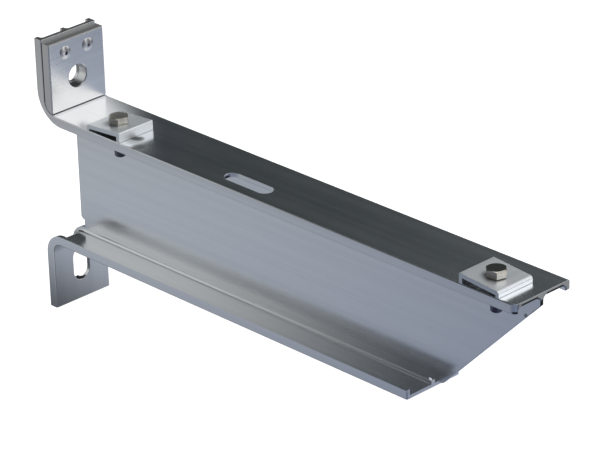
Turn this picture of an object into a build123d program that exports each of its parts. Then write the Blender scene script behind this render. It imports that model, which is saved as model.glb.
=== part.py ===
from build123d import *
import os

os.makedirs("parts", exist_ok=True)

# X runs out from the wall, Y runs across the arm, Z is up. X = 0 is the wall, Y = 0 the middle of the web.
# The pieces are drawn with Z = 0 on the upper face of the top flange. They are then lowered together, so that
# the origin is where the top end of the upper lug meets the wall.

# The drawn section of the arm, an I with a lip along both edges of both flanges
section_height = 100.0
flange_width = 50.0
flange_thickness = 3.0
web_thickness = 2.8
lip_height = 6.8
lip_thickness = 3.3
web_root_radius = 2.8
lip_root_radius = 2.2
outer_corner_radius = 0.8

# Lengths of the arm
top_length = 450.0
bottom_length = 355.0
top_lug_rise = 54.5
bottom_lug_drop = 51.5

# The bends: the flange face inside the bend, and the lip tips outside it, which draw in as they stretch
top_bend_radius = 10.0
top_tip_bend_radius = 23.0
bottom_bend_radius = 8.0
bottom_tip_bend_radius = 15.5

# The web, cut back at the wall and cut on a slope at the free end
web_wall_edge = 11.3
web_nose_depth = 8.5
web_tail_overhang = 10.0
saw_gap = 1.8
saw_run = 2.5
relief_reach = 3.3
relief_depth = 5.9
relief_shoulder = 1.7
upper_relief_reach = 8.0
upper_relief_depth = 4.0
free_corner_radius = 4.6
low_corner_radius = 1.6
end_chamfer = 0.6

# Openings of the arm
wall_hole_diameter = 16.0
wall_hole_rise = 23.0
wall_slot_width = 15.0
wall_slot_length = 26.0
wall_slot_drop = 24.2
tray_slot_width = 12.0
tray_slot_length = 43.2
tray_slot_centre = 197.2
bolt_line = -10.4
wall_bolt_reach = 67.9
free_bolt_setback = 29.2
bolt_hole_diameter = 9.0

# The pad on the upper lug and its two blind rivets
pad_thickness = 8.0
pad_shortfall = 2.0
pad_lift = 0.6
pad_back_cut = (3.0, 3.1)
pad_edge_break = 0.7
pad_hole_chamfer = 0.5
rivet_spread = 20.5
rivet_rise = 43.2
rivet_body_diameter = 4.8
rivet_hole_clearance = 0.1
rivet_head_diameter = 9.5
rivet_head_height = 1.5
rivet_rim_height = 0.35
rivet_crown_height = 1.1
rivet_crown_diameter = 6.8
rivet_mouth_width = 0.35
rivet_bore_diameter = 2.9
rivet_tail_diameter = 6.9
rivet_tail_length = 2.8
rivet_tail_rounding = 1.2
rivet_tail_shoulder = 0.6
mandrel_clearance = 0.05
mandrel_depth = 1.6
mandrel_break = 0.5
mandrel_head_diameter = 4.4
mandrel_head_proud = 0.8

# The hold-down clamps: a plate that slopes down from a tall leg to a low one, with a level seat for the bolt
clamp_length = 33.6
clamp_width = 31.2
clamp_tall_height = 7.3
clamp_low_height = 4.6
clamp_thickness = 3.0
clamp_leg_thickness = 2.7
clamp_tall_corner = 0.8
clamp_low_corner = 2.2
clamp_foot_radius = 0.5
clamp_hole_length = 12.0
clamp_offsets = (-0.4, -1.4)
clamp_sideways = 1.0
seat_height = 6.15
seat_diameter = 16.0

# The clamp bolts, M8 by 25, their nuts and washers
bolt_diameter = 8.0
bolt_length = 25.0
bolt_head_flats = 12.75
bolt_head_height = 5.3
bolt_point_chamfer = 0.9
nut_height = 6.5
nut_flats = 13.0
hex_crown_inset = 0.26
hex_cone_rise = 0.5
hex_turn = 15.0
thread_clearance = 0.05
washer_outer = 15.0
washer_bore = 8.4
washer_thickness = 1.6

half_width = flange_width / 2
half_web = web_thickness / 2
channel_far = half_width - lip_thickness
lug_back = lip_height - flange_thickness
bolt_positions = (wall_bolt_reach, top_length - free_bolt_setback)
rivet_hole_radius = (rivet_body_diameter + rivet_hole_clearance) / 2
over = 5.0


def at(x, z):
    return Vector(x, 0, z)


def bent_line(lug_x, lug_end, corner_z, radius, end_x):
    """The line from the lug's end, round its bend, along the flange to end_x."""
    side = 1 if lug_end > corner_z else -1
    top = at(lug_x, lug_end)
    start = at(lug_x, corner_z + side * radius)
    finish = at(lug_x + radius, corner_z)
    diagonal = radius * (1 - 0.5**0.5)
    middle = at(lug_x + diagonal, corner_z + side * diagonal)
    return [Line(top, start), ThreePointArc(start, middle, finish), Line(finish, at(end_x, corner_z))]


def between(first, second):
    """The face between two lines that start level with each other and end level with each other."""
    closing = [Line(first[0] @ 0, second[0] @ 0), Line(first[-1] @ 1, second[-1] @ 1)]
    return make_face(Wire(first + second + closing))


def slab(face, low, high):
    """A face of the side view, drawn through the arm from Y = low to Y = high."""
    return extrude(Pos(0, low, 0) * face, amount=high - low, dir=(0, 1, 0))


def long_edges(solid, y, near_line):
    """The edges of a solid that lie at this Y along a line of the side view."""
    chosen = []
    for edge in solid.edges():
        middle = edge @ 0.5
        flat = Vector(middle.X, 0, middle.Z)
        level = abs((edge @ 0).Y - y) < 1e-4 and abs((edge @ 1).Y - y) < 1e-4
        if level and min(piece.distance_to(flat) for piece in near_line) < 1e-4:
            chosen.append(edge)
    return chosen


def lipped_flange(lug_end, corner_z, into_z, bend_radius, tip_radius, end_x):
    """A flange with its lips and the stub of its web, running on round the bend into its lug."""
    tip_z = corner_z + into_z * lip_height
    under_z = corner_z + into_z * flange_thickness
    face_line = bent_line(lip_height, lug_end, corner_z, bend_radius, end_x)
    tip_line = bent_line(0, lug_end, tip_z, tip_radius, end_x)
    block = slab(between(face_line, tip_line), -half_width, half_width)
    corners = long_edges(block, half_width, face_line) + long_edges(block, -half_width, face_line)
    block = fillet(corners, outer_corner_radius)
    side = 1 if lug_end > corner_z else -1
    under_radius = bend_radius + flange_thickness
    under_line = bent_line(lug_back, lug_end + side * over, under_z, under_radius, end_x + over)
    outside = [
        Line(under_line[0] @ 0, at(-over, lug_end + side * over)),
        Line(at(-over, lug_end + side * over), at(-over, tip_z + into_z * over)),
        Line(at(-over, tip_z + into_z * over), at(end_x + over, tip_z + into_z * over)),
        Line(at(end_x + over, tip_z + into_z * over), under_line[-1] @ 1),
    ]
    channel = slab(make_face(Wire(under_line + outside)), half_web, channel_far)
    channel = fillet(long_edges(channel, half_web, under_line), web_root_radius)
    channel = fillet(long_edges(channel, channel_far, under_line), lip_root_radius)
    return block - channel - mirror(channel, about=Plane.XZ)


def web_plate():
    """The web: upright edge at the wall with its two reliefs, sloped edge at the free end."""
    bury = flange_thickness / 2
    tip_top = -lip_height
    tip_bottom = lip_height - section_height
    relief_top = tip_bottom + relief_depth
    tail = bottom_length + web_tail_overhang
    points = [
        (web_wall_edge + upper_relief_reach, -bury),
        (web_wall_edge + upper_relief_reach, tip_top - upper_relief_depth),
        (web_wall_edge, tip_top - upper_relief_depth),
        (web_wall_edge, relief_top + relief_shoulder),
        (web_wall_edge + relief_shoulder, relief_top),
        (web_wall_edge + relief_reach, relief_top),
        (web_wall_edge + relief_reach, bury - section_height),
        (bottom_length, bury - section_height),
        (bottom_length, tip_bottom),
        (tail, tip_bottom),
        (top_length, -web_nose_depth),
        (top_length, -bury),
    ]
    face = make_face(Polyline(*[at(x, z) for x, z in points], close=True))
    return slab(face, -half_web, half_web)


def corner_waste(x, side, radius, z):
    """What rounding takes off a flange's free corner at this X, on this side, about this height."""
    inside = (x - radius, side * (half_width - radius), z)
    square = Pos(x, side * half_width, z) * Box(2 * radius, 2 * radius, 3 * lip_height)
    return square - Pos(*inside) * Cylinder(radius, 4 * lip_height)


def low_end_edges(solid, x):
    """The straight edges that bound the underside of the top flange, its lips and its web on the end face at X = x."""
    chosen = []
    for edge in solid.edges().filter_by(Axis.Y):
        middle = edge @ 0.5
        if abs(middle.X - x) < 1e-4 and -lip_height - 1e-4 < middle.Z < -1e-4:
            chosen.append(edge)
    return chosen


def arm():
    """The bracket arm, one piece of drawn section with a lug bent from each flange."""
    top = lipped_flange(top_lug_rise, 0.0, -1, top_bend_radius, top_tip_bend_radius, top_length)
    low_end = -section_height - bottom_lug_drop
    bottom = lipped_flange(
        low_end, -section_height, 1, bottom_bend_radius, bottom_tip_bend_radius, bottom_length
    )
    body = top + bottom + web_plate()
    kerf_low = lip_height - section_height - saw_gap
    body -= Pos(bottom_length - saw_run, 0, kerf_low) * Box(
        over * 4, web_thickness * 3, saw_gap, align=(Align.MIN, Align.CENTER, Align.MIN)
    )
    behind_lugs = Plane((-over, 0, 0), x_dir=(0, 0, 1), z_dir=(1, 0, 0))
    lug_cut = lip_height + 2 * over
    slot_z = -section_height - wall_slot_drop
    openings = [
        Pos(wall_hole_rise, 0) * Circle(wall_hole_diameter / 2),
        Pos(slot_z, 0) * SlotOverall(wall_slot_length, wall_slot_width),
    ]
    for side in (-1, 1):
        openings.append(Pos(rivet_rise, side * rivet_spread / 2) * Circle(rivet_hole_radius))
    for opening in openings:
        body -= extrude(behind_lugs * opening, amount=lug_cut)
    tray_slot = Pos(tray_slot_centre, bolt_line) * SlotOverall(tray_slot_length, tray_slot_width)
    body -= extrude(Plane.XY.offset(over) * tray_slot, amount=-(flange_thickness + 2 * over))
    for x in bolt_positions:
        body -= Pos(x, bolt_line, 0) * Cylinder(bolt_hole_diameter / 2, 4 * flange_thickness)
    body = chamfer(low_end_edges(body, top_length), end_chamfer)
    body -= corner_waste(top_length, -1, free_corner_radius, 0)
    for side in (-1, 1):
        body -= corner_waste(bottom_length, side, low_corner_radius, -section_height)
    return body


def pad():
    """The thick pad on the front of the upper lug, cut away behind to clear the bend."""
    back = lip_height
    front = back + pad_thickness
    top = top_lug_rise - pad_shortfall
    points = [
        (back, top),
        (front, top),
        (front, pad_lift),
        (back + pad_back_cut[0], pad_back_cut[1]),
        (back, top_bend_radius),
    ]
    block = slab(make_face(Polyline(*[at(x, z) for x, z in points], close=True)), -half_width, half_width)
    face_edges = [e for e in block.edges() if abs((e @ 0).X - front) < 1e-4 and abs((e @ 1).X - front) < 1e-4]
    block = chamfer(face_edges, pad_edge_break)
    hole = Pos(front, 0, wall_hole_rise) * Rot(0, 90, 0) * Cylinder(wall_hole_diameter / 2, 4 * pad_thickness)
    block -= hole
    rim = [
        e
        for e in block.edges().filter_by(GeomType.CIRCLE)
        if abs(e.radius - wall_hole_diameter / 2) < 1e-4 and abs((e @ 0).X - front) < 1e-4
    ]
    block = chamfer(rim, pad_hole_chamfer)
    for side in (-1, 1):
        spot = Pos(front, side * rivet_spread / 2, rivet_rise)
        block -= spot * Rot(0, 90, 0) * Cylinder(rivet_hole_radius, 4 * pad_thickness)
    return block


def turned(points):
    """A piece turned about the X axis from its outline in the side view."""
    return revolve(make_face(Polyline(*[at(x, z) for x, z in points], close=True)), Axis.X)


def rivet_body():
    """The body of a blind rivet: domed head in front, plain shank, swollen tail behind the lug."""
    front = lip_height + pad_thickness
    head = rivet_head_diameter / 2
    bore = rivet_bore_diameter / 2
    shank = rivet_body_diameter / 2
    tail = rivet_tail_diameter / 2
    tail_end = lug_back - rivet_tail_length
    tail_low = at(tail_end, tail - rivet_tail_rounding)
    tail_middle = at(lug_back - rivet_tail_length / 2, tail)
    tail_high = at(lug_back, tail - rivet_tail_shoulder)
    rim = at(front + rivet_rim_height, head)
    crown = at(front + rivet_crown_height, rivet_crown_diameter / 2)
    mouth = at(front + rivet_head_height, bore + rivet_mouth_width)
    outline = [
        Line(at(tail_end, bore), tail_low),
        ThreePointArc(tail_low, tail_middle, tail_high),
        Line(tail_high, at(lug_back, shank)),
        Line(at(lug_back, shank), at(front, shank)),
        Line(at(front, shank), at(front, head)),
        Line(at(front, head), rim),
        ThreePointArc(rim, crown, mouth),
        Line(mouth, at(front + rivet_head_height, bore)),
        Line(at(front + rivet_head_height, bore), at(tail_end, bore)),
    ]
    return revolve(make_face(Wire(outline)), Axis.X)


def rivet_mandrel():
    """The broken pin left inside a blind rivet, with its head under the tail."""
    front = lip_height + pad_thickness
    stem = rivet_bore_diameter / 2 - mandrel_clearance
    tail_end = lug_back - rivet_tail_length
    broken = front + rivet_head_height - mandrel_depth
    button = mandrel_head_diameter / 2
    points = [
        (tail_end - mandrel_head_proud, 0),
        (tail_end - mandrel_head_proud, button - mandrel_break),
        (tail_end, button),
        (tail_end, stem),
        (broken - mandrel_break, stem),
        (broken, stem - mandrel_break),
        (broken, 0),
    ]
    return turned(points)


def clamp(inward, offset):
    """A hold-down clamp about its bolt, its tall leg on the side that inward points to along X."""
    half = clamp_length / 2
    leg = clamp_leg_thickness
    slope = (clamp_tall_height - clamp_low_height) / clamp_length
    tall_gap = clamp_tall_height - slope * leg - clamp_thickness
    low_gap = clamp_low_height + slope * leg - clamp_thickness
    points = [
        (-half, 0),
        (-half, clamp_low_height),
        (half, clamp_tall_height),
        (half, 0),
        (half - leg, 0),
        (half - leg, tall_gap),
        (leg - half, low_gap),
        (leg - half, 0),
    ]
    face = make_face(Polyline(*[at(x, z) for x, z in points], close=True))
    block = slab(face, -clamp_width / 2, clamp_width / 2)
    across = block.edges().filter_by(Axis.Y)
    block = fillet([e for e in across if abs((e @ 0.5).Z - clamp_tall_height) < 1e-4], clamp_tall_corner)
    across = block.edges().filter_by(Axis.Y)
    block = fillet([e for e in across if abs((e @ 0.5).Z - clamp_low_height) < 1e-4], clamp_low_corner)
    feet = [e for e in block.edges().filter_by(Axis.Y) if abs((e @ 0.5).Z) < 1e-4]
    block = fillet(feet, clamp_foot_radius)
    turn = 0 if inward > 0 else 180
    block = Pos(offset, clamp_sideways, 0) * Rot(0, 0, turn) * block
    hole = Pos(0, clamp_sideways) * SlotOverall(clamp_hole_length, bolt_hole_diameter, rotation=90)
    block -= extrude(hole, amount=2 * clamp_tall_height)
    return block - Pos(0, 0, seat_height) * Cylinder(
        seat_diameter / 2, clamp_tall_height, align=(Align.CENTER, Align.CENTER, Align.MIN)
    )


def hex_head(flats, height, chamfer_top, chamfer_bottom):
    """A hexagonal block standing on Z = 0 with its corners turned off on a cone."""
    prism = extrude(RegularPolygon(flats / 2, 6, major_radius=False), amount=height)
    corner = flats / 3**0.5
    inner = flats / 2 - hex_crown_inset
    rise = (corner - inner) * hex_cone_rise
    low = rise if chamfer_bottom else 0.0
    high = rise if chamfer_top else 0.0
    points = [(0, 0), (inner if low else corner, 0), (corner, low), (corner, height - high)]
    points += [(inner if high else corner, height), (0, height)]
    cleaned = []
    for point in points:
        if not cleaned or point != cleaned[-1]:
            cleaned.append(point)
    envelope = revolve(make_face(Polyline(*[at(x, z) for x, z in cleaned], close=True)), Axis.Z)
    return prism & envelope


def hex_bolt():
    """An M8 hexagon bolt with its head's bearing face at Z = 0 and its shank running down."""
    head = Rot(0, 0, hex_turn) * hex_head(bolt_head_flats, bolt_head_height, True, False)
    radius = bolt_diameter / 2
    point = bolt_point_chamfer
    root = bolt_head_height / 2
    tip = -bolt_length
    points = [(0, root), (radius, root), (radius, tip + point), (radius - point, tip), (0, tip)]
    shank = revolve(make_face(Polyline(*[at(x, z) for x, z in points], close=True)), Axis.Z)
    return head + shank


def hex_nut():
    """An M8 nut with its upper face at Z = 0."""
    body = Pos(0, 0, -nut_height) * Rot(0, 0, hex_turn) * hex_head(nut_flats, nut_height, True, True)
    return body - Cylinder(bolt_diameter / 2 + thread_clearance, 4 * nut_height)


def flat_washer():
    """A narrow M8 washer with its upper face at Z = 0."""
    disc = Pos(0, 0, -washer_thickness / 2) * Cylinder(washer_outer / 2, washer_thickness)
    return disc - Cylinder(washer_bore / 2, 4 * washer_thickness)


def twice(piece, places):
    """Copies of one piece as separate solids of a group."""
    return Compound(children=[Pos(*place) * piece for place in places])


def hand_out(piece, node):
    """Lowers a piece into the bracket's frame and writes it as one node."""
    export_step(Pos(0, 0, -top_lug_rise) * piece, f"parts/{node}.step")


hand_out(arm(), "arm")
hand_out(pad(), "lug_pad")

rivet_places = [(0, side * rivet_spread / 2, rivet_rise) for side in (-1, 1)]
hand_out(twice(rivet_body(), rivet_places), "rivet_bodies")
hand_out(twice(rivet_mandrel(), rivet_places), "rivet_mandrels")

wall_x, free_x = bolt_positions
wall_offset, free_offset = clamp_offsets
hand_out(Pos(wall_x, bolt_line, 0) * clamp(1, wall_offset), "clamp_wall_side")
hand_out(Pos(free_x, bolt_line, 0) * clamp(-1, free_offset), "clamp_free_side")

head_places = [(x, bolt_line, seat_height) for x in bolt_positions]
washer_places = [(x, bolt_line, -flange_thickness) for x in bolt_positions]
nut_places = [(x, bolt_line, -flange_thickness - washer_thickness) for x in bolt_positions]
hand_out(twice(hex_bolt(), head_places), "clamp_bolts")
hand_out(twice(flat_washer(), washer_places), "clamp_washers")
hand_out(twice(hex_nut(), nut_places), "clamp_nuts")
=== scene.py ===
"""Dresses the wall bracket, its arm, riveted pad and two bolted clamps, and sets up a plain studio."""

import logging
import math
from dataclasses import dataclass, field, replace
from enum import Enum
from typing import Any

import bmesh
import bpy
import numpy as np
from mathutils import Matrix, Vector

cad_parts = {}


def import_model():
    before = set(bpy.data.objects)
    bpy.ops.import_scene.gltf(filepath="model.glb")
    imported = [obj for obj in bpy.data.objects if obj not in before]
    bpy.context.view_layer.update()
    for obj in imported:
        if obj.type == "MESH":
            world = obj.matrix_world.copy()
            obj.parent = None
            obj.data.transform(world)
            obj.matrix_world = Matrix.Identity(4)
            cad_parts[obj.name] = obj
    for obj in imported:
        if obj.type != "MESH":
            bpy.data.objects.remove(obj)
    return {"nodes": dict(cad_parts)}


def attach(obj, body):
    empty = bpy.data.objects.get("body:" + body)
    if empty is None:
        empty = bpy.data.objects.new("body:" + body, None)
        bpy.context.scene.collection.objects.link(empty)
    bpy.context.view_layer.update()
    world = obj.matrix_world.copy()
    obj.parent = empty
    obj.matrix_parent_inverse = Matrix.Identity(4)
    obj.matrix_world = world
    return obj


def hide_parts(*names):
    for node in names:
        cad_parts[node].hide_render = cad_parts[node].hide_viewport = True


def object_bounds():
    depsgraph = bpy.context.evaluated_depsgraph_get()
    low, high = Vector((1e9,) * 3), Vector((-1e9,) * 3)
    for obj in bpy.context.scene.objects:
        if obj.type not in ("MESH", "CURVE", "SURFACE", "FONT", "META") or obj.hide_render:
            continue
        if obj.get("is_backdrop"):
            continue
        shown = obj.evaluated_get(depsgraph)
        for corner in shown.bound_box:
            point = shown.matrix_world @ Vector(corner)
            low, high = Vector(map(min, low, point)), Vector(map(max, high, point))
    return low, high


Triple = tuple[float, float, float]
Span = tuple[float, float]

LOG = logging.getLogger("bracket")
MM = 0.001
DIAGONAL = math.sqrt(0.5)

RIGHT = (1.0, 0.0, 0.0)
UP = (0.0, 0.0, 1.0)
DOWN = (0.0, 0.0, -1.0)
NEAR = (0.0, -1.0, 0.0)
FAR = (0.0, 1.0, 0.0)
RIGHT_AND_UP = (DIAGONAL, 0.0, DIAGONAL)
RIGHT_AND_DOWN = (DIAGONAL, 0.0, -DIAGONAL)
RIGHT_AND_NEAR = (DIAGONAL, -DIAGONAL, 0.0)
NEAR_AND_DOWN = (0.0, -0.7, -0.7)
ACROSS_X = (0.0, 1.0, 1.0)
WHITE = (1.0, 1.0, 1.0)


@dataclass
class Graph:
    """A node tree that is filled through one method."""

    tree: bpy.types.NodeTree

    def node(
        self,
        kind: str,
        settings: dict[str, Any] | None = None,
        sockets: dict[Any, Any] | None = None,
    ) -> bpy.types.Node:
        """Adds a node.

        Args:
            kind: the node's type.
            settings: its properties, set before its sockets are used.
            sockets: values, sockets or levels for its inputs, by name or number.

        Returns:
            The node.
        """
        made = self.tree.nodes.new(kind)
        for name, value in (settings or {}).items():
            setattr(made, name, value)
        for key, value in (sockets or {}).items():
            source = value.socket if isinstance(value, Level) else value
            if isinstance(source, bpy.types.NodeSocket):
                self.tree.links.new(source, made.inputs[key])
            else:
                made.inputs[key].default_value = source
        return made

    def level(self, kind: str, output: str, sockets: dict[Any, Any], **settings: Any) -> "Level":
        """Adds a node and hands back one of its outputs as a level.

        Args:
            kind: the node's type.
            output: the name of the output.
            sockets: values or links for its inputs.
            **settings: the node's properties.

        Returns:
            The output, ready for arithmetic.
        """
        return Level(self, self.node(kind, settings, sockets).outputs[output])

    def place(self) -> bpy.types.NodeSocket:
        """The point in the bracket's own frame, in metres."""
        return self.node("ShaderNodeTexCoord").outputs["Object"]

    def vector(self, operation: str, first: Any, second: Any) -> bpy.types.NodeSocket:
        """The vector that a Vector Math node makes of two others."""
        made = self.node("ShaderNodeVectorMath", {"operation": operation}, {0: first, 1: second})
        return made.outputs["Vector"]

    def dot(self, first: Any, second: Any) -> "Level":
        """The dot product of two vectors."""
        return self.level("ShaderNodeVectorMath", "Value", {0: first, 1: second}, operation="DOT_PRODUCT")

    def distance(self, first: Any, second: Any) -> "Level":
        """The distance between two points."""
        return self.level("ShaderNodeVectorMath", "Value", {0: first, 1: second}, operation="DISTANCE")

    def noise(self, place: Any, scale: Triple, detail: float, roughness: float) -> "Level":
        """Smooth noise from 0 to 1.

        Args:
            place: the point in metres.
            scale: features to the metre along each axis.
            detail: how many finer layers it has.
            roughness: how strong the finer layers are.

        Returns:
            The noise.
        """
        stretched = self.vector("MULTIPLY", place, scale)
        sockets = {"Vector": stretched, "Scale": 1.0, "Detail": detail, "Roughness": roughness}
        return self.level("ShaderNodeTexNoise", "Fac", sockets)

    def blend(self, factor: Any, first: Any, second: Any) -> bpy.types.NodeSocket:
        """Mixes two colours.

        Args:
            factor: 0 for the first colour and 1 for the second.
            first: a colour as three numbers, or a socket.
            second: a colour as three numbers, or a socket.

        Returns:
            The mixed colour.
        """
        first, second = ((*part, 1.0) if isinstance(part, tuple) else part for part in (first, second))
        mixed = self.node("ShaderNodeMix", {"data_type": "RGBA"}, {0: factor, 6: first, 7: second})
        return mixed.outputs[2]

    def parts(self, vector: Any) -> tuple["Level", "Level", "Level"]:
        """The three parts of a vector as levels."""
        split = self.node("ShaderNodeSeparateXYZ", sockets={0: vector})
        return Level(self, split.outputs[0]), Level(self, split.outputs[1]), Level(self, split.outputs[2])

    def light_path(self, kind: str) -> "Level":
        """1 for rays of one kind, such as Is Camera Ray, and 0 for the others."""
        return self.level("ShaderNodeLightPath", kind, {})

    def glow(self, colour: Any, strength: Any) -> bpy.types.NodeSocket:
        """A shader that gives light."""
        return self.node("ShaderNodeEmission", sockets={"Color": colour, "Strength": strength}).outputs[0]

    def finish(self, kind: str, shader: bpy.types.NodeSocket) -> None:
        """Joins a shader to the tree's output, of the kind Material or World."""
        self.node(f"ShaderNodeOutput{kind}", sockets={"Surface": shader})


@dataclass(frozen=True)
class Level:
    """A number that changes over a surface, with the arithmetic that shaders need."""

    graph: Graph
    socket: bpy.types.NodeSocket

    def _maths(self, operation: str, first: Any, second: Any) -> "Level":
        """The result of a Math node on two values."""
        return self.graph.level("ShaderNodeMath", "Value", {0: first, 1: second}, operation=operation)

    def __add__(self, other: Any) -> "Level":
        """This level plus another value."""
        return self._maths("ADD", self, other)

    def __sub__(self, other: Any) -> "Level":
        """This level less another value."""
        return self._maths("SUBTRACT", self, other)

    def __rsub__(self, other: Any) -> "Level":
        """Another value less this level."""
        return self._maths("SUBTRACT", other, self)

    def __mul__(self, other: Any) -> "Level":
        """This level times another value."""
        return self._maths("MULTIPLY", self, other)

    def __pow__(self, other: Any) -> "Level":
        """This level raised to a power."""
        return self._maths("POWER", self, other)

    __radd__ = __add__
    __rmul__ = __mul__

    def above(self, other: Any) -> "Level":
        """The larger of this level and another value."""
        return self._maths("MAXIMUM", self, other)

    def rise(self, low: float, high: float) -> "Level":
        """A smooth step: 0 where this level is at low, 1 where it is at high."""
        sockets = {"Value": self, "From Min": low, "From Max": high}
        return self.graph.level("ShaderNodeMapRange", "Result", sockets, interpolation_type="SMOOTHSTEP")

    def fall(self, low: float, high: float) -> "Level":
        """A smooth step down: 1 where this level is at low, 0 where it is at high."""
        return 1.0 - self.rise(low, high)


def blank_material(name: str) -> tuple[bpy.types.Material, Graph]:
    """Makes a material with no nodes in it.

    Args:
        name: its name.

    Returns:
        The material and its tree.
    """
    made = bpy.data.materials.new(name)
    made.use_nodes = True
    made.node_tree.nodes.clear()
    return made, Graph(made.node_tree)


class Grain(Enum):
    """The way the tool marks run on a piece, as marks to the metre along each axis."""

    ALONG_X = (6.0, 900.0, 900.0)
    ALONG_Y = (900.0, 6.0, 900.0)
    ALONG_Z = (900.0, 900.0, 6.0)
    EVEN = (700.0, 700.0, 700.0)


@dataclass
class Skin:
    """A finish while it is built up: the metal's shade, and its colour, roughness and height so far."""

    graph: Graph
    place: bpy.types.NodeSocket
    normal: bpy.types.NodeSocket
    shade: Triple
    colour: bpy.types.NodeSocket
    rough: Level
    height: Level

    def paint(self, mask: Level, colour: Triple) -> None:
        """Lays a colour over the finish, as far as the mask goes."""
        self.colour = self.graph.blend(mask, self.colour, colour)


@dataclass(frozen=True)
class SawnOrPaintedStrip:
    """A sawn face, a strip of one or a strip of painted shade or light, with its own tone and roughness.
    Metres.

    The faces look along facing, and the strip runs from start to stop as counted along the direction along.
    It can be held to a span of Y.
    """

    facing: Triple
    along: Triple
    start: float
    stop: float
    tone: float
    roughness: float = 0.25
    span: Span | None = None
    soft: float = 0.15 * MM
    facing_cosines: Span = (0.88, 0.97)
    grit: Triple = (1500.0, 1500.0, 1500.0)
    grit_height: float = 1.5
    cover: float = 0.7
    grit_cover: float = 0.5

    def window(self, run: Level, start: float, stop: float) -> Level:
        """1 between two values of a level and 0 outside them."""
        return run.rise(start - self.soft, start) * run.fall(stop, stop + self.soft)

    def mask(self, skin: Skin) -> Level:
        """Finds the strip.

        Args:
            skin: the finish that it is in.

        Returns:
            1 on the strip and 0 elsewhere.
        """
        graph = skin.graph
        turned = graph.dot(skin.normal, self.facing).rise(*self.facing_cosines)
        strip = turned * self.window(graph.dot(skin.place, self.along), self.start, self.stop)
        if self.span is None:
            return strip
        return strip * self.window(graph.parts(skin.place)[1], *self.span)

    def apply(self, skin: Skin) -> None:
        """Lays the strip over a finish, as the shade times the tone with a grit in it.

        Args:
            skin: the finish.
        """
        sawn = self.mask(skin)
        grit = skin.graph.noise(skin.place, self.grit, detail=2.0, roughness=0.6)
        skin.paint(sawn * (self.cover + grit * self.grit_cover), toned(skin.shade, self.tone))
        skin.rough = skin.rough + sawn * self.roughness
        skin.height = skin.height + sawn * grit * self.grit_height


@dataclass(frozen=True)
class PaintedBoreShade:
    """Painted shade on the wall of a drilled hole, on the side that towards points to. Metres.

    The parts of across are 0 along the hole's axis and 1 along the other two.
    """

    across: Triple
    centre: Triple
    radius: float
    towards: Triple
    tone: float = 0.12
    roughness: float = 0.2
    wall_edge: Span = (0.05 * MM, 0.25 * MM)
    dark_shares: Span = (-0.1, 0.9)

    def apply(self, skin: Skin) -> None:
        """Paints shade on the wall on its dark side, falling to nothing half way round.

        Args:
            skin: the finish.
        """
        graph = skin.graph
        offset = graph.vector("SUBTRACT", skin.place, self.centre)
        flat = graph.vector("MULTIPLY", offset, self.across)
        inside = graph.distance(flat, (0.0, 0.0, 0.0)).fall(*(self.radius + part for part in self.wall_edge))
        wall = inside * graph.dot(flat, self.towards).rise(*(self.radius * part for part in self.dark_shares))
        skin.paint(wall, toned(skin.shade, self.tone))
        skin.rough = skin.rough + wall * self.roughness


@dataclass(frozen=True)
class MarkOrPaintedShade:
    """A small dent or scratch, or a spot of painted shade, that fades outwards from its core. Metres; depth
    in tool marks.
    """

    centre: Triple
    radius: float = 0.9 * MM
    tone: float = 0.3
    depth: float = 0.0
    core: float = 0.4
    cover: float = 0.8

    def apply(self, skin: Skin) -> None:
        """Lays the mark over a finish.

        Args:
            skin: the finish.
        """
        dent_or_shade = skin.graph.distance(skin.place, self.centre).fall(self.radius * self.core, self.radius)
        skin.paint(dent_or_shade * self.cover, toned(skin.shade, self.tone))
        skin.height = skin.height - dent_or_shade * self.depth


@dataclass(frozen=True)
class BoltFootShade:
    """Painted shade on a bolt's foot: the finish turns to its colour as Z falls from stop to start. Metres.
    """

    start: float
    stop: float
    colour: Triple = (0.3, 0.31, 0.4)
    cover: float = 0.95
    roughness: float = 0.2

    def apply(self, skin: Skin) -> None:
        """Lays the painted shade over a finish.

        Args:
            skin: the finish.
        """
        below = skin.graph.parts(skin.place)[2].fall(self.start, self.stop)
        skin.paint(below * self.cover, self.colour)
        skin.rough = skin.rough + below * self.roughness


def toned(colour: Triple, tone: float) -> Triple:
    """A colour with each of its parts times a factor."""
    return tuple(part * tone for part in colour)


def weighted(layers: tuple[Level, Level, Level], weights: Triple) -> Level:
    """The sum of three levels, each times its own weight."""
    first, second, third = (layer * weight for layer, weight in zip(layers, weights))
    return first + second + third


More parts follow.
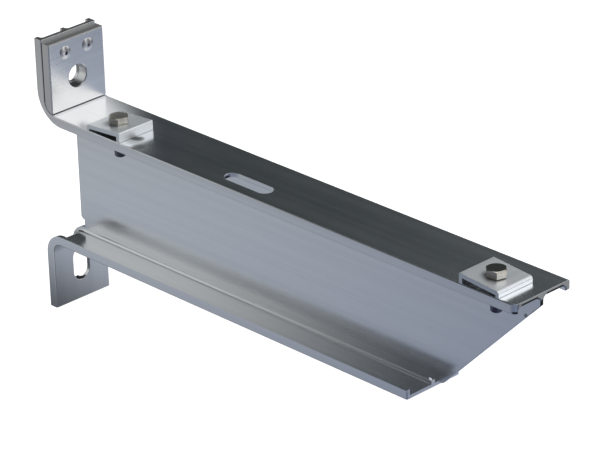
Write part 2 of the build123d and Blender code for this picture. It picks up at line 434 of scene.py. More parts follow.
@dataclass(frozen=True)
class Metal:
    """A bare metal finish with tool marks, streaks, smudges and worn edges.

    Colours are linear red, green and blue. Depths and radii are in metres. The details, painted shade and
    light among them, are laid over it in their order.
    """

    name: str
    colour: Triple
    shade: Triple
    roughness: float
    roughness_swing: float
    grain: Grain
    mark_depth: float
    edge_radius: float
    edge_wear: float = 0.5
    bend: Span | None = None
    bent_grain: Grain = Grain.ALONG_Z
    details: tuple[SawnOrPaintedStrip | PaintedBoreShade | MarkOrPaintedShade | BoltFootShade, ...] = ()
    streak_width: float = 5.0
    smudge_scale: Triple = (28.0, 36.0, 36.0)
    smudge_roughness: float = 0.8
    tone_weights: Triple = (0.25, 0.6, 0.15)
    tone_range: Span = (0.3, 0.7)
    height_weights: Triple = (0.45, 1.1, 0.6)
    edge_turn: Span = (0.02, 0.3)
    edge_gain: float = 1.08
    least_roughness: float = 0.06

    def marks(self, graph: Graph, place: Any, grain: Grain) -> tuple[Level, Level]:
        """The tool marks for one grain direction.

        Fine marks are noise stretched along the grain; streaks are the same at a fifth of the frequency.

        Args:
            graph: the material's tree.
            place: the point in the bracket's frame.
            grain: the direction.

        Returns:
            Fine marks and broad streaks, each from 0 to 1.
        """
        broad_scale = tuple(part / self.streak_width for part in grain.value)
        fine = graph.noise(place, grain.value, detail=3.0, roughness=0.65)
        broad = graph.noise(place, broad_scale, detail=2.0, roughness=0.5)
        return fine, broad

    def bare(self, graph: Graph, bevel: bpy.types.NodeSocket) -> Skin:
        """The metal before its details.

        Its tone and height are sums of the fine marks, the streaks and the smudges, each times its weight.
        The grain turns at a bend, and edges are brighter where the bevelled normal leaves the true one.

        Args:
            graph: the material's tree.
            bevel: the normal with its edges rounded.

        Returns:
            The finish so far.
        """
        place = graph.place()
        fine, broad = self.marks(graph, place, self.grain)
        if self.bend is not None:
            bent_fine, bent_broad = self.marks(graph, place, self.bent_grain)
            on_arm = graph.parts(place)[0].rise(*self.bend)
            fine = bent_fine + (fine - bent_fine) * on_arm
            broad = bent_broad + (broad - bent_broad) * on_arm
        smudge = graph.noise(place, self.smudge_scale, detail=3.0, roughness=0.6)
        layers = (fine, broad, smudge)
        normal = graph.node("ShaderNodeNewGeometry").outputs["Normal"]
        edge = (1.0 - graph.dot(bevel, normal)).rise(*self.edge_turn)
        tone = weighted(layers, self.tone_weights).rise(*self.tone_range)
        smudging = self.roughness_swing * self.smudge_roughness
        rough = self.roughness + (broad - 0.5) * self.roughness_swing + (smudge - 0.5) * smudging
        height = weighted(layers, self.height_weights)
        colour = graph.blend(tone, self.shade, self.colour)
        skin = Skin(graph, place, normal, self.shade, colour, rough, height)
        worn = tuple(min(1.0, part) for part in toned(self.colour, self.edge_gain))
        skin.paint(edge * self.edge_wear, worn)
        return skin

    def material(self) -> bpy.types.Material:
        """Builds the finish.

        Returns:
            The material.
        """
        made, graph = blank_material(self.name)
        bevel = graph.node("ShaderNodeBevel", {"samples": 6}, {"Radius": self.edge_radius}).outputs["Normal"]
        skin = self.bare(graph, bevel)
        for detail in self.details:
            detail.apply(skin)
        bump = graph.node(
            "ShaderNodeBump",
            sockets={"Strength": 1.0, "Distance": self.mark_depth, "Height": skin.height, "Normal": bevel},
        )
        surface = graph.node(
            "ShaderNodeBsdfPrincipled",
            sockets={
                "Base Color": skin.colour,
                "Metallic": 1.0,
                "Roughness": skin.rough.above(self.least_roughness),
                "Normal": bump.outputs["Normal"],
            },
        )
        graph.finish("Material", surface.outputs["BSDF"])
        return made


DRAWN = Metal(
    name="drawn_aluminium",
    colour=(0.9, 0.91, 0.925),
    shade=(0.83, 0.84, 0.86),
    roughness=0.2,
    roughness_swing=0.1,
    grain=Grain.ALONG_X,
    mark_depth=0.006 * MM,
    edge_radius=0.5 * MM,
    edge_wear=0.3,
    bend=(5.0 * MM, 16.0 * MM),
)
SAWN_BAR = Metal(
    name="sawn_flat_bar",
    colour=(0.94, 0.945, 0.935),
    shade=(0.87, 0.875, 0.87),
    roughness=0.29,
    roughness_swing=0.1,
    grain=Grain.ALONG_Y,
    mark_depth=0.0042 * MM,
    edge_radius=0.35 * MM,
)
RIVET = Metal(
    name="rivet_aluminium",
    colour=(0.9, 0.9, 0.91),
    shade=(0.76, 0.76, 0.78),
    roughness=0.34,
    roughness_swing=0.1,
    grain=Grain.EVEN,
    mark_depth=0.008 * MM,
    edge_radius=0.2 * MM,
)
MANDREL = Metal(
    name="mandrel_steel",
    colour=(0.72, 0.72, 0.74),
    shade=(0.5, 0.5, 0.52),
    roughness=0.5,
    roughness_swing=0.2,
    grain=Grain.EVEN,
    mark_depth=0.05 * MM,
    edge_radius=0.15 * MM,
)
CLAMP_BAR = Metal(
    name="clamp_aluminium",
    colour=(0.93, 0.96, 0.98),
    shade=(0.87, 0.91, 0.95),
    roughness=0.52,
    roughness_swing=0.14,
    grain=Grain.ALONG_Y,
    mark_depth=0.008 * MM,
    edge_radius=0.35 * MM,
)
NUT_STEEL = Metal(
    name="nut_steel",
    colour=(0.78, 0.74, 0.66),
    shade=(0.62, 0.59, 0.52),
    roughness=0.22,
    roughness_swing=0.12,
    grain=Grain.EVEN,
    mark_depth=0.008 * MM,
    edge_radius=0.25 * MM,
)
BOLT_STEEL = replace(NUT_STEEL, name="stainless_steel")
WASHER_STEEL = Metal(
    name="washer_steel",
    colour=(0.68, 0.66, 0.62),
    shade=(0.52, 0.5, 0.46),
    roughness=0.26,
    roughness_swing=0.12,
    grain=Grain.EVEN,
    mark_depth=0.008 * MM,
    edge_radius=0.15 * MM,
)


def dress(piece: bpy.types.Object, finish: bpy.types.Material) -> None:
    """Gives a piece one finish.

    Args:
        piece: the object to dress.
        finish: its material.
    """
    piece.data.materials.clear()
    piece.data.materials.append(finish)
    LOG.info("dressed %s with %s, %d faces", piece.name, finish.name, len(piece.data.polygons))


def surface_of_turns(
    name: str,
    radius: np.ndarray,
    height: np.ndarray,
    centre: Vector,
    crease: float,
) -> bpy.types.Object:
    """A closed surface carried round an upright axis.

    A point in row k and column j lies at angle 2 pi j / columns about the axis, at that entry's own radius
    and height. Rows at radius zero close to one point.

    Args:
        name: the new object's name.
        radius: distance from the axis by row and column, in metres.
        height: height above the centre by row and column, in metres.
        centre: the point on the axis from which heights count.
        crease: the angle above which an edge stays sharp, in radians.

    Returns:
        The object, with its place in its mesh.
    """
    rows, columns = radius.shape
    angle = np.arange(columns) * (2 * math.pi / columns)
    points = np.stack(
        [
            centre.x + radius * np.cos(angle),
            centre.y + radius * np.sin(angle),
            centre.z + height,
        ],
        axis=-1,
    ).reshape(-1, 3)
    row, column = np.meshgrid(np.arange(rows - 1), np.arange(columns), indexing="ij")
    beside = (column + 1) % columns
    this_row = row * columns
    next_row = this_row + columns
    corners = np.stack(
        [this_row + column, this_row + beside, next_row + beside, next_row + column],
        axis=-1,
    ).reshape(-1, 4)
    mesh = bpy.data.meshes.new(name)
    mesh.from_pydata(points.tolist(), [], corners.tolist())
    shell = bmesh.new()
    shell.from_mesh(mesh)
    bmesh.ops.remove_doubles(shell, verts=shell.verts, dist=0.0001 * MM)
    bmesh.ops.recalc_face_normals(shell, faces=shell.faces)
    shell.to_mesh(mesh)
    shell.free()
    mesh.shade_smooth()
    mesh.set_sharp_from_angle(angle=crease)
    piece = bpy.data.objects.new(name, mesh)
    bpy.context.scene.collection.objects.link(piece)
    return piece


@dataclass
class ThreadedBolt:
    """An M8 hexagon bolt with its thread cut, bearing face at the seat and shank running down. Metres."""

    name: str
    seat: Vector
    flats: float = 12.75 * MM
    head_height: float = 5.3 * MM
    crown_inset: float = 0.26 * MM
    cone_rise: float = 0.5
    turn: float = math.radians(15.0)
    crease: float = math.radians(28.0)
    diameter: float = 8.0 * MM
    length: float = 25.0 * MM
    pitch: float = 1.25 * MM
    thread_depth: float = 0.72 * MM
    thread_slope: float = 1.3
    crest_width: float = 0.15
    run_out: float = 1.5
    plain: float = 1.6 * MM
    point_chamfer: float = 0.9 * MM
    point_ring: float = 0.55
    columns: int = 96
    rows_per_pitch: int = 9
    cone_rows: int = 5
    top_rings: tuple[float, ...] = (0.0, 0.35, 0.7, 0.97)

    def head(self) -> tuple[np.ndarray, np.ndarray]:
        """The head from the middle of its top to its shank.

        The outline at an angle is the flat's half width over the cosine of the angle from that flat's middle.
        The top runs level to the crown circle and then falls on a cone to the outline.

        Returns:
            Radius and height by row and column.
        """
        angle = np.arange(self.columns) * (2 * math.pi / self.columns)
        sixth = math.pi / 3
        outline = self.flats / 2 / np.cos(np.mod(angle - self.turn, sixth) - sixth / 2)
        crown = np.full(self.columns, self.flats / 2 - self.crown_inset)
        shares = np.linspace(0.0, 1.0, self.cone_rows)[:, None]
        cone = crown + (outline - crown) * shares
        cone_height = self.head_height - (cone - crown) * self.cone_rise
        level = np.array(self.top_rings)[:, None] * crown
        level_height = np.full_like(level, self.head_height)
        foot = np.stack([outline, np.full(self.columns, self.diameter / 2)])
        return (
            np.concatenate([level, cone, foot]),
            np.concatenate([level_height, cone_height, np.zeros_like(foot)]),
        )

    def shank(self) -> tuple[np.ndarray, np.ndarray]:
        """The threaded shank from under the head to the middle of its point.

        The radius is the bolt's own less a flattened zigzag that climbs one pitch a turn. It fades out under
        the head and is cut by a cone at the point.

        Returns:
            Radius and height by row and column.
        """
        turns = np.arange(self.columns) / self.columns
        count = int(self.length / self.pitch * self.rows_per_pitch)
        height = np.linspace(0.0, -self.length, count)[1:, None]
        phase = np.mod(height / self.pitch + turns, 1.0)
        zigzag = np.clip(np.abs(2 * phase - 1) * self.thread_slope - self.crest_width, 0.0, 1.0)
        fade = np.clip((-height - self.plain) / (self.run_out * self.pitch), 0.0, 1.0)
        radius = self.diameter / 2 - self.thread_depth * zigzag * fade
        cone = self.diameter / 2 - self.point_chamfer + (height + self.length)
        radius = np.minimum(radius, cone)
        point = np.array([self.point_ring, 0.0])[:, None] * radius[-1]
        point_height = np.full_like(point, -self.length)
        height = np.broadcast_to(height, radius.shape)
        return np.concatenate([radius, point]), np.concatenate([height, point_height])

    def build(self) -> bpy.types.Object:
        """Makes the bolt.

        Returns:
            The bolt as one closed mesh.
        """
        head, head_height = self.head()
        shank, shank_height = self.shank()
        radius = np.concatenate([head, shank])
        height = np.concatenate([head_height, shank_height])
        return surface_of_turns(self.name, radius, height, self.seat, self.crease)


@dataclass(frozen=True)
class WallHole:
    """The round hole for the upper wall bolt, through the pad and the lug. Metres."""

    height: float = -31.5 * MM
    radius: float = 8.0 * MM

    def bore(self, room: float = 0.0) -> PaintedBoreShade:
        """Painted shade on the hole's wall, low on the near side, with some room added to its radius."""
        return PaintedBoreShade(ACROSS_X, (0.0, 0.0, self.height), self.radius + room, NEAR_AND_DOWN)


@dataclass
class BracketArm:
    """The arm with its two lugs. Metres; depths count down from the upper lug's top end."""

    node: bpy.types.Object
    hole: WallHole
    length: float = 450.0 * MM
    lower_length: float = 355.0 * MM
    top_depth: float = 54.5 * MM
    lug_depth: float = 206.0 * MM
    lip_inside: float = 21.5 * MM

    def on_top(self, reach: float, side: float) -> Triple:
        """A point on the top flange, from its X and Y in millimetres."""
        return reach * MM, side * MM, -self.top_depth

    def both_sides(self, start: float, stop: float, tone: float, span: Span) -> tuple[SawnOrPaintedStrip, SawnOrPaintedStrip]:
        """Two strips of the end faces, one on each side of the web.

        Args:
            start: the depth of their upper edge.
            stop: the depth of their lower edge.
            tone: their tone.
            span: their inner and outer distance from the web's middle.

        Returns:
            The near strip and the far one.
        """
        inner, outer = span
        return (
            SawnOrPaintedStrip(RIGHT, DOWN, start, stop, tone, span=(-outer, -inner)),
            SawnOrPaintedStrip(RIGHT, DOWN, start, stop, tone, span=(inner, outer)),
        )

    def sawn_and_painted_strips(self) -> tuple[SawnOrPaintedStrip, ...]:
        """The sawn ends, with painted shade on edges and hollows and painted light on the bottom flange's
        end.

        Returns:
            The strips in the order in which they are laid over the finish.
        """
        end = self.length
        top = self.top_depth
        foot = self.lug_depth
        lip_foot = top + 5.3 * MM
        return (
            # The free end's sawn face, with a strip of painted shade low on its flange on both sides of the
            # web
            SawnOrPaintedStrip(RIGHT, RIGHT, end - 2.0 * MM, end + 10.0 * MM, 0.5),
            *self.both_sides(top + 1.4 * MM, top + 3.1 * MM, 0.05, (4.2 * MM, 19.3 * MM)),
            # The bottom flange's end, lit up with painted light, and a strip of painted shade along its upper
            # edge
            SawnOrPaintedStrip(RIGHT, RIGHT, self.lower_length - 55.0 * MM, self.lower_length + 35.0 * MM, 1.12),
            *self.both_sides(130.0 * MM, 151.9 * MM, 0.12, (1.8 * MM, self.lip_inside)),
            # Painted shade on the faces that look down and outwards under the free end
            SawnOrPaintedStrip(RIGHT_AND_DOWN, RIGHT, end - 10.0 * MM, end + 10.0 * MM, 0.06),
            # The sawn ends of both lugs
            SawnOrPaintedStrip(UP, UP, -2.0 * MM, 10.0 * MM, 0.1),
            SawnOrPaintedStrip(DOWN, DOWN, foot - 6.0 * MM, foot + 4.0 * MM, 0.6),
            # Painted shade on the foot of the lower slot, and on the far sides of that slot and of the upper
            # hole
            SawnOrPaintedStrip(UP, DOWN, foot - 46.0 * MM, foot - 6.0 * MM, 0.12),
            SawnOrPaintedStrip(NEAR, FAR, 0.0, 9.0 * MM, 0.5),
            # The shaded ends of the web, the near lip and its cut corner
            SawnOrPaintedStrip(RIGHT, DOWN, top + 4.7 * MM, top + 15.5 * MM, 0.05, span=(-2.0 * MM, 2.0 * MM)),
            SawnOrPaintedStrip(RIGHT, DOWN, lip_foot, top + 15.5 * MM, 0.08, span=(-26.0 * MM, -self.lip_inside)),
            SawnOrPaintedStrip(RIGHT_AND_NEAR, DOWN, lip_foot, top + 15.5 * MM, 0.08),
        )

    def scars_and_painted_shade(self) -> tuple[MarkOrPaintedShade, ...]:
        """The dents and scratches of the one in the photograph, and painted shade on its top flange.

        Returns:
            The marks in the order in which they are laid over the finish.
        """
        return (
            # Dents at the web's foot, on the web and on the lower lip
            MarkOrPaintedShade((171.4 * MM, -3.0 * MM, -150.5 * MM), depth=6.0),
            MarkOrPaintedShade((201.5 * MM, -1.4 * MM, -118.8 * MM), 0.6 * MM, 0.6, 6.0),
            MarkOrPaintedShade((80.8 * MM, -25.0 * MM, -143.1 * MM), 0.6 * MM, 0.4, 6.0),
            # Bright scratches on the top flange
            MarkOrPaintedShade(self.on_top(167.0, 13.0), 0.7 * MM, 2.5),
            MarkOrPaintedShade(self.on_top(166.9, 19.6), 0.6 * MM, 2.5),
            MarkOrPaintedShade(self.on_top(353.3, -16.0), 0.7 * MM, 2.5),
            # Painted shade: the dark spot beside the wall-side clamp, from its pale rim to its middle
            MarkOrPaintedShade(self.on_top(88.5, -14.5), 8.5 * MM, 0.55),
            MarkOrPaintedShade(self.on_top(88.4, -10.5), 5.0 * MM, 0.05),
            MarkOrPaintedShade(self.on_top(86.6, -12.2), 4.4 * MM, 0.05),
            # A nick in the web's sloped edge
            MarkOrPaintedShade((437.5 * MM, -1.4 * MM, -74.4 * MM), 2.2 * MM, 0.15),
            # Painted shade: a darker patch between the dark spot and the near lip
            MarkOrPaintedShade(self.on_top(98.0, -20.0), 6.0 * MM, 0.4),
        )

    def dress(self) -> None:
        """Gives the arm its drawn finish."""
        # The hole's wall takes painted shade, low on its near side
        finish = replace(DRAWN, details=(*self.sawn_and_painted_strips(), self.hole.bore(), *self.scars_and_painted_shade()))
        dress(self.node, finish.material())


@dataclass
class RivetedPad:
    """The pad on the upper lug with its two blind rivets. Metres."""

    pad: bpy.types.Object
    bodies: bpy.types.Object
    mandrels: bpy.types.Object
    hole: WallHole
    half_width: float = 25.0 * MM
    joint_line: float = 7.8 * MM
    rivet_spread: float = 20.5 * MM
    shade_reach: float = 15.5 * MM
    shade_height: float = -8.1 * MM

    def pad_finish(self) -> Metal:
        """The flat bar's finish with its sawn edges, painted shade in the joint and on the hole's wall.

        Returns:
            The finish.
        """
        edge = (self.half_width - 5.0 * MM, self.half_width + 5.0 * MM)
        sawn_and_painted_strips = (
            # What looks up, the near side with a line of painted shade in the joint, the top front edge, the
            # far side
            SawnOrPaintedStrip(UP, UP, -60.0 * MM, 10.0 * MM, 0.3),
            SawnOrPaintedStrip(NEAR, NEAR, *edge, 0.9),
            SawnOrPaintedStrip(NEAR, RIGHT, 0.0, self.joint_line, 0.1, span=(-edge[1], -edge[0])),
            SawnOrPaintedStrip(RIGHT_AND_UP, UP, -10.0 * MM, 0.0, 0.45),
            SawnOrPaintedStrip(FAR, FAR, *edge, 0.7),
        )
        # Painted shade on the hole's wall, low on its near side
        return replace(SAWN_BAR, details=(*sawn_and_painted_strips, self.hole.bore(room=0.6 * MM)))

    def rivet_finish(self) -> Metal:
        """The rivets' finish, with a dark shade above the bore of each head.

        Returns:
            The finish.
        """
        places = [(self.shade_reach, side * self.rivet_spread / 2, self.shade_height) for side in (-1, 1)]
        return replace(RIVET, details=tuple(MarkOrPaintedShade(place, 2.2 * MM, 0.12) for place in places))

    def dress(self) -> None:
        """Gives the pad and the rivets their finishes."""
        dress(self.pad, self.pad_finish().material())
        dress(self.bodies, self.rivet_finish().material())
        dress(self.mandrels, MANDREL.material())


@dataclass
class HoldDowns:
    """Both hold-down clamps with their bolts, washers and nuts. Metres."""

    nodes: dict[str, bpy.types.Object]
    bolt_line: float = -10.4 * MM
    bolt_places: dict[str, float] = field(default_factory=lambda: {"wall": 67.9 * MM, "free": 420.8 * MM})
    seat_height: float = -48.35 * MM
    shadow_offset: float = -1.6 * MM
    shadow_height: float = -48.4 * MM
    shadow_radii: dict[str, float] = field(default_factory=lambda: {"wall": 10.5 * MM, "free": 9.5 * MM})
    everywhere: Span = (-1000.0 * MM, 1000.0 * MM)

    def clamp_finish(self) -> Metal:
        """The clamps' finish: pale sawn sides, painted light on a smoother free end and a shadow round each
        bolt.

        Returns:
            The finish.
        """
        side = self.bolt_line + self.shadow_offset
        shadows = (
            MarkOrPaintedShade((reach + self.shadow_offset, side, self.shadow_height), self.shadow_radii[name], 0.3)
            for name, reach in self.bolt_places.items()
        )
        sawn_and_painted_strips = (
            SawnOrPaintedStrip(NEAR, NEAR, *self.everywhere, 1.05, 0.05),
            SawnOrPaintedStrip(FAR, FAR, *self.everywhere, 1.05, 0.05),
            # Painted light on the free-side clamp's end, which is smoother too
            SawnOrPaintedStrip(RIGHT, RIGHT, 400.0 * MM, 460.0 * MM, 1.07, -0.24),
        )
        return replace(CLAMP_BAR, details=(*sawn_and_painted_strips, *shadows))

    def bolt_finish(self) -> Metal:
        """The bolts' finish: darker, smoother tops and painted shade on the lower ends and the wall-side
        head.

        Returns:
            The finish.
        """
        top = SawnOrPaintedStrip(UP, UP, -50.0 * MM, 0.0, 0.6, -0.08)
        # Painted shade on the lower end of each bolt, under the flange
        ends = BoltFootShade(-60.0 * MM, -56.0 * MM)
        # Painted shade on the wall-side bolt's head
        stain = MarkOrPaintedShade((self.bolt_places["wall"], self.bolt_line, -43.0 * MM), 9.0 * MM, 0.12)
        return replace(BOLT_STEEL, details=(top, ends, stain))

    def bolts(self) -> None:
        """Makes the two bolts in the place of the plain ones."""
        finish = self.bolt_finish().material()
        for side, reach in self.bolt_places.items():
            seat = Vector((reach, self.bolt_line, self.seat_height))
            bolt = ThreadedBolt(f"bolt_{side}_side", seat).build()
            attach(bolt, "root")
            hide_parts("clamp_bolts")
            dress(bolt, finish)

    def dress(self) -> None:
        """Gives the clamps, washers and nuts their finishes and adds the bolts."""
        clamp = self.clamp_finish().material()
        dress(self.nodes["clamp_wall_side"], clamp)
        dress(self.nodes["clamp_free_side"], clamp)
        dress(self.nodes["clamp_washers"], WASHER_STEEL.material())
        dress(self.nodes["clamp_nuts"], NUT_STEEL.material())
        self.bolts()


@dataclass
class Viewpoint:
    """The camera of the picture. Angles in degrees, lengths in millimetres, image sizes in pixels."""

    yaw: float = 46.43
    pitch: float = 25.21
    roll: float = -1.70
    focal_pixels: float = 3550.51
    image_width: float = 600.0
    sensor: float = 36.0
    offset: Triple = (11.93, -37.52, 2351.69)
    pivot: Triple = (250.0, 0.0, -114.5)
    clip: Span = (50.0, 60000.0)

    def build(self) -> None:
        """Places the camera and makes it the scene's own.

        The view axis comes from yaw and pitch, the roll turns the image about it, and the offset moves the
        camera across and along that axis from the pivot.
        """
        yaw, pitch, roll = (math.radians(part) for part in (self.yaw, self.pitch, self.roll))
        axis = np.array([math.cos(pitch) * math.sin(yaw), -math.cos(pitch) * math.cos(yaw), math.sin(pitch)])
        level = np.array([math.cos(yaw), math.sin(yaw), 0.0])
        upward = np.cross(axis, level)
        right = math.cos(roll) * level + math.sin(roll) * upward
        up = -math.sin(roll) * level + math.cos(roll) * upward
        across, rise, away = self.offset
        spot = (np.array(self.pivot) - across * right - rise * up + away * axis) * MM
        data = bpy.data.cameras.new("camera")
        data.sensor_fit = "HORIZONTAL"
        data.sensor_width = self.sensor
        data.lens = self.focal_pixels * self.sensor / self.image_width
        data.clip_start, data.clip_end = (part * MM for part in self.clip)
        camera = bpy.data.objects.new("camera", data)
        matrix = np.eye(4)
        matrix[:3] = np.stack([right, up, axis, spot], axis=1)
        camera.matrix_world = Matrix(matrix.tolist())
        bpy.context.scene.collection.objects.link(camera)
        bpy.context.scene.camera = camera


def sheet(name: str, corners: list[Triple], finish: bpy.types.Material) -> bpy.types.Object:
    """Makes a flat four-cornered sheet that belongs to the studio.

    Args:
        name: its name.
        corners: its corners in order.
        finish: its material.

    Returns:
        The sheet.
    """
    mesh = bpy.data.meshes.new(name)
    mesh.from_pydata(corners, [], [(0, 1, 2, 3)])
    mesh.materials.append(finish)
    made = bpy.data.objects.new(name, mesh)
    bpy.context.scene.collection.objects.link(made)
    made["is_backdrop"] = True
    return made


def level_corners(reach: Span, side: Span, height: float) -> list[Triple]:
    """The corners of a level sheet over a span of X and a span of Y.

    Args:
        reach: its start and end along X.
        side: its start and end along Y.
        height: its Z.

    Returns:
        Its four corners in order.
    """
    left, right = reach
    near, far = side
    return [(left, near, height), (right, near, height), (right, far, height), (left, far, height)]


@dataclass
class StudioFloor:
    """The floor: white to the camera and a patterned grey glow of painted light to the metal that reflects
    it. Metres.
    """

    height: float
    reach: float = 14.0
    matt: Triple = (0.34, 0.34, 0.34)
    lift: float = 0.93
    grey_wall: Triple = (0.375, 0.378, 0.378)
    grey_near: Triple = (0.37, 0.395, 0.435)
    grey_away: Triple = (0.168, 0.197, 0.278)
    near_starts: Span = (-0.34, -0.16)
    away_starts: Span = (-0.2, 0.62)
    mirrored: float = 1.18
    strength_middle: float = 1.12
    strength_loss: float = 1.15
    strength_least: float = 0.45
    smoothing: float = 0.0001
    behind_starts: Span = (0.06, 0.13)
    behind_gain: float = 0.55
    behind_ends: Span = (0.35, 0.7)
    behind_loss: float = 0.8
    painted_shadow_share: float = 0.22
    under_front: Span = (-0.12, -0.01)
    under_back: Span = (-0.03, 0.07)

    def mirrored_grey(self, graph: Graph) -> bpy.types.NodeSocket:
        """The grey glow that the metal reflects, painted light that stands in for the lit floor.

        Its colour is neutral well behind the wall, bluer nearer the arm and darker towards the free end. Its
        strength falls with the distance from the arm's line, is lower beneath the arm as a painted shadow,
        and higher in a band behind it.

        Args:
            graph: the floor's tree.

        Returns:
            The grey as a shader.
        """
        reach, side, _ = graph.parts(graph.place())
        near = graph.blend(reach.rise(*self.near_starts), self.grey_wall, self.grey_near)
        colour = graph.blend(reach.rise(*self.away_starts), near, self.grey_away)
        away = (side * side + self.smoothing) ** 0.5
        fall = (self.strength_middle - away * self.strength_loss).above(self.strength_least)
        behind = 1.0 + side.rise(*self.behind_starts) * self.behind_gain
        beyond = 1.0 - side.rise(*self.behind_ends) * self.behind_loss
        # Painted shadow: the glow drops to a share beneath the arm and rises to full on either side
        open_share = 1.0 - self.painted_shadow_share
        open_front = self.painted_shadow_share + side.fall(*self.under_front) * open_share
        open_back = self.painted_shadow_share + side.rise(*self.under_back) * open_share
        strength = fall * (behind * beyond) * open_front.above(open_back) * self.mirrored
        return graph.glow(colour, strength)

    def build(self) -> None:
        """Makes the floor."""
        finish, graph = blank_material("floor")
        matt = graph.node("ShaderNodeBsdfDiffuse", sockets={"Color": (*self.matt, 1.0)})
        lift = graph.glow((*WHITE, 1.0), graph.light_path("Is Camera Ray") * self.lift)
        white = graph.node("ShaderNodeAddShader", sockets={0: matt.outputs[0], 1: lift})
        either = graph.node(
            "ShaderNodeMixShader",
            sockets={0: graph.light_path("Is Glossy Ray"), 1: white.outputs[0], 2: self.mirrored_grey(graph)},
        )
        graph.finish("Material", either.outputs[0])
        span = (-self.reach, self.reach)
        sheet("floor", level_corners(span, span, self.height), finish)


@dataclass
class ReflectedCards:
    """Three glowing cards that show only in the metal. Metres; strengths are those of the light."""

    floor_height: float
    dim: Triple = (0.72, 0.86, 1.0)
    bright: Triple = (0.97, 1.0, 1.0)
    bright_from: Span = (0.03, 0.35)
    front_distance: float = 0.45
    front_span: Span = (-1.3, 1.3)
    front_height: Span = (-0.15, 2.0)
    front_lean: float = 0.65
    front_step: Span = (-0.32, 0.07)
    front_least: float = 0.035
    front_gain: float = 0.56
    back_place: float = -0.1
    back_span: Span = (0.05, 0.2)
    back_height: Span = (-0.04, 0.12)
    back_lean: float = 0.9
    back_step: Span = (0.1045, 0.1195)
    back_top: Span = (0.042, 0.062)
    back_least: float = 0.05
    back_gain: float = 0.95
    end_reach: Span = (0.5, 0.9)
    end_span: Span = (0.08, 0.45)
    end_gap: float = 0.002
    end_starts: Span = (0.52, 0.6)
    end_side_starts: Span = (0.09, 0.16)
    end_gain: float = 0.85

    def card(self, name: str, finish: bpy.types.Material, glow: Level, corners: list[Triple]) -> None:
        """Makes one card that shows only in the metal.

        Args:
            name: its name.
            finish: its material, still without a shader.
            glow: its strength over the card, in the tree of its material.
            corners: its corners in order.
        """
        graph = glow.graph
        colour = graph.blend(glow.rise(*self.bright_from), self.dim, self.bright)
        graph.finish("Material", graph.glow(colour, glow))
        made = sheet(name, corners, finish)
        made.visible_camera = False
        made.visible_diffuse = False
        made.visible_shadow = False

    def front(self) -> None:
        """The tall card beside the arm, bright towards the wall and dark towards the free end.

        Its strength steps down along X, and the step leans back towards the wall with height.
        """
        finish, graph = blank_material("front_card")
        reach, _, height = graph.parts(graph.place())
        step = (reach + height * self.front_lean).fall(*self.front_step)
        left, right = self.front_span
        low, high = self.front_height
        away = -self.front_distance
        corners = [(left, away, low), (right, away, low), (right, away, high), (left, away, high)]
        self.card("front_card", finish, self.front_least + step * self.front_gain, corners)

    def back(self) -> None:
        """The small card behind the lug that the flange beside the pad reflects.

        It fades upwards and outwards.
        """
        finish, graph = blank_material("back_card")
        _, side, height = graph.parts(graph.place())
        inner = (side - height * self.back_lean).fall(*self.back_step)
        glow = self.back_least + inner * height.fall(*self.back_top) * self.back_gain
        near, far = self.back_span
        low, high = self.back_height
        place = self.back_place
        corners = [(place, near, low), (place, far, low), (place, far, high), (place, near, high)]
        self.card("back_card", finish, glow, corners)

    def end(self) -> None:
        """The card on the floor beyond the free end, which the arm's sawn ends reflect."""
        finish, graph = blank_material("end_card")
        reach, side, _ = graph.parts(graph.place())
        glow = reach.rise(*self.end_starts) * side.rise(*self.end_side_starts) * self.end_gain
        corners = level_corners(self.end_reach, self.end_span, self.floor_height + self.end_gap)
        self.card("end_card", finish, glow, corners)

    def build(self) -> None:
        """Makes the three cards."""
        self.front()
        self.back()
        self.end()


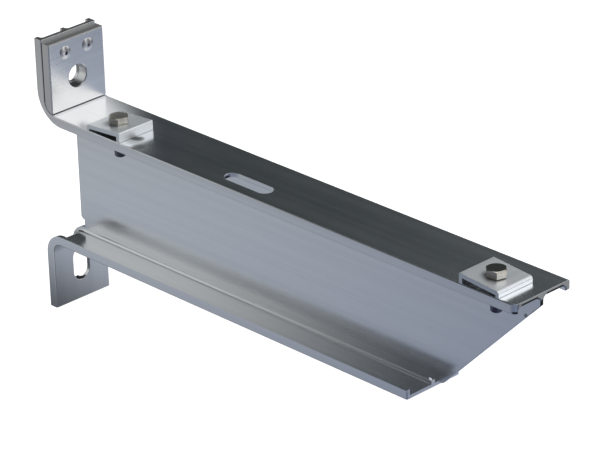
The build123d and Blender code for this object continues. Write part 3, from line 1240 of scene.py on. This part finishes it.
@dataclass
class Surround:
    """The light all round, as a tent, and one large soft lamp above, in front and to the left. Metres."""

    dark: Triple = (0.04, 0.047, 0.05)
    dark_right: Triple = (0.078, 0.088, 0.095)
    right_starts: Span = (-0.65, -0.6)
    overhead_starts: Span = (0.52, 0.8)
    overhead_across: Span = (-0.62, -0.25)
    overhead_front: Span = (-0.2, -0.08)
    overhead_strength: float = 0.9
    window_way: Triple = (0.656, 0.624, 0.426)
    window_edge: Span = (0.66, 0.95)
    window_strength: float = 1.12
    front_way: Triple = (0.3, -0.9, 0.3)
    front_edge: Span = (0.2, 0.9)
    front_strength: float = 0.35
    lit_from: Span = (0.0, 0.4)
    lamp_size: float = 0.9
    lamp_watts: float = 14.0
    lamp_spot: Triple = (-0.2, -0.7, 1.5)
    lamp_aim: Triple = (0.2, 0.0, -0.1)

    def tent(self) -> None:
        """The light all round: bright overhead and behind on the right, dark low behind on the left."""
        world = bpy.data.worlds.new("tent")
        world.use_nodes = True
        world.node_tree.nodes.clear()
        bpy.context.scene.world = world
        graph = Graph(world.node_tree)
        way = graph.node("ShaderNodeTexCoord").outputs["Generated"]
        across, depth, height = graph.parts(way)
        open_above = across.rise(*self.overhead_across).above(depth.fall(*self.overhead_front))
        overhead = height.rise(*self.overhead_starts) * open_above * self.overhead_strength
        window = graph.dot(way, self.window_way).rise(*self.window_edge) * self.window_strength
        front = graph.dot(way, self.front_way).rise(*self.front_edge) * self.front_strength
        glow = overhead.above(window).above(front)
        lit = glow.rise(*self.lit_from)
        dark = graph.blend(across.rise(*self.right_starts), self.dark, self.dark_right)
        strength = glow.above(1.0 - lit)
        seen = graph.light_path("Is Camera Ray")
        colour = graph.blend(seen, graph.blend(lit, dark, WHITE), WHITE)
        strength = strength + (1.0 - strength) * seen
        light = graph.node("ShaderNodeBackground", sockets={"Color": colour, "Strength": strength})
        graph.finish("World", light.outputs[0])

    def lamp(self) -> None:
        """The lamp, which the metal doesn't reflect."""
        data = bpy.data.lights.new("soft_lamp", "AREA")
        data.shape = "SQUARE"
        data.size = self.lamp_size
        data.energy = self.lamp_watts
        lamp = bpy.data.objects.new("soft_lamp", data)
        spot = Vector(self.lamp_spot)
        turn = (spot - Vector(self.lamp_aim)).to_track_quat("Z", "Y")
        lamp.matrix_world = Matrix.Translation(spot) @ turn.to_matrix().to_4x4()
        lamp.visible_glossy = False
        bpy.context.scene.collection.objects.link(lamp)

    def build(self) -> None:
        """Makes the tent and the lamp."""
        self.tent()
        self.lamp()


@dataclass
class Studio:
    """The plain studio round the bracket."""

    floor_height: float

    def build(self) -> None:
        """Sets the studio up."""
        bpy.context.scene.view_settings.view_transform = "Standard"
        StudioFloor(self.floor_height).build()
        ReflectedCards(self.floor_height).build()
        Surround().build()


def main() -> None:
    """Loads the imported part, dresses each sub-assembly and sets the studio up."""
    logging.basicConfig(level=logging.INFO, format="%(message)s")
    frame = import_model()
    nodes = frame["nodes"]
    solid_box = [list(corner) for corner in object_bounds()]
    hole = WallHole()
    BracketArm(nodes["arm"], hole).dress()
    RivetedPad(nodes["lug_pad"], nodes["rivet_bodies"], nodes["rivet_mandrels"], hole).dress()
    HoldDowns(nodes).dress()
    Studio(floor_height=solid_box[0][2]).build()
    Viewpoint().build()


if __name__ == "__main__":
    main()
